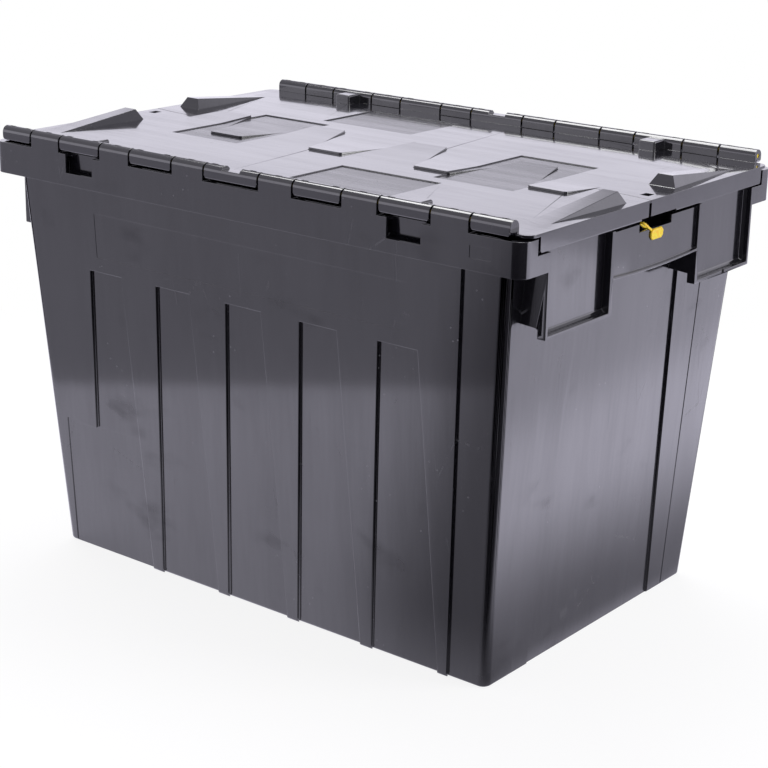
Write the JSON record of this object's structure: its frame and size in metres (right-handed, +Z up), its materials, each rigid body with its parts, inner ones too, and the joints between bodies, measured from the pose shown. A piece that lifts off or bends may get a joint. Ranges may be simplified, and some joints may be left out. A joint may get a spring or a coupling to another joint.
{
  "type": "attached lid container",
  "caption": "Nestable plastic transport crate with a deep rim, hand grips and an interlocking lid of hinged flaps closed by a security seal.",
  "frame": {"origin": "centre of the base, on the surface that the container stands on", "axes": "+X along the long side, towards the end with the seal; +Y from the front long side to the rear one; +Z up"},
  "size_m": [0.6, 0.4, 0.4155],
  "materials": {
    "container_plastic": "moulded, satin gloss, lightly scuffed",
    "lid_plastic": "moulded, glossy, fine brushed-looking flow lines",
    "pin_rod": "extruded, glossy",
    "seal_plastic": "moulded, glossy"
  },
  "bodies": {
    "container": {"container_tub": "container_plastic", "rim_front": "container_plastic", "rim_rear": "container_plastic", "grip_rim_right": "container_plastic", "grip_rim_left": "container_plastic", "stacking_lug_front_right": "container_plastic", "stacking_lug_rear_right": "container_plastic", "stacking_lug_front_left": "container_plastic", "stacking_lug_rear_left": "container_plastic", "hinge_pin_front": "pin_rod", "hinge_pin_rear": "pin_rod", "security_seal": "seal_plastic"},
    "lid_front": {"lid_flap_front": "lid_plastic"},
    "lid_rear": {"lid_flap_rear": "lid_plastic"}
  },
  "joints": [
    {"name": "front_lid_hinge", "type": "hinge", "parent": "container", "child": "lid_front", "pos_m": [0, -0.194, 0.4095], "axis": [1, 0, 0], "range_deg": [0, 255]},
    {"name": "rear_lid_hinge", "type": "hinge", "parent": "container", "child": "lid_rear", "pos_m": [0, 0.194, 0.4095], "axis": [-1, 0, 0], "range_deg": [0, 255]}
  ]
}
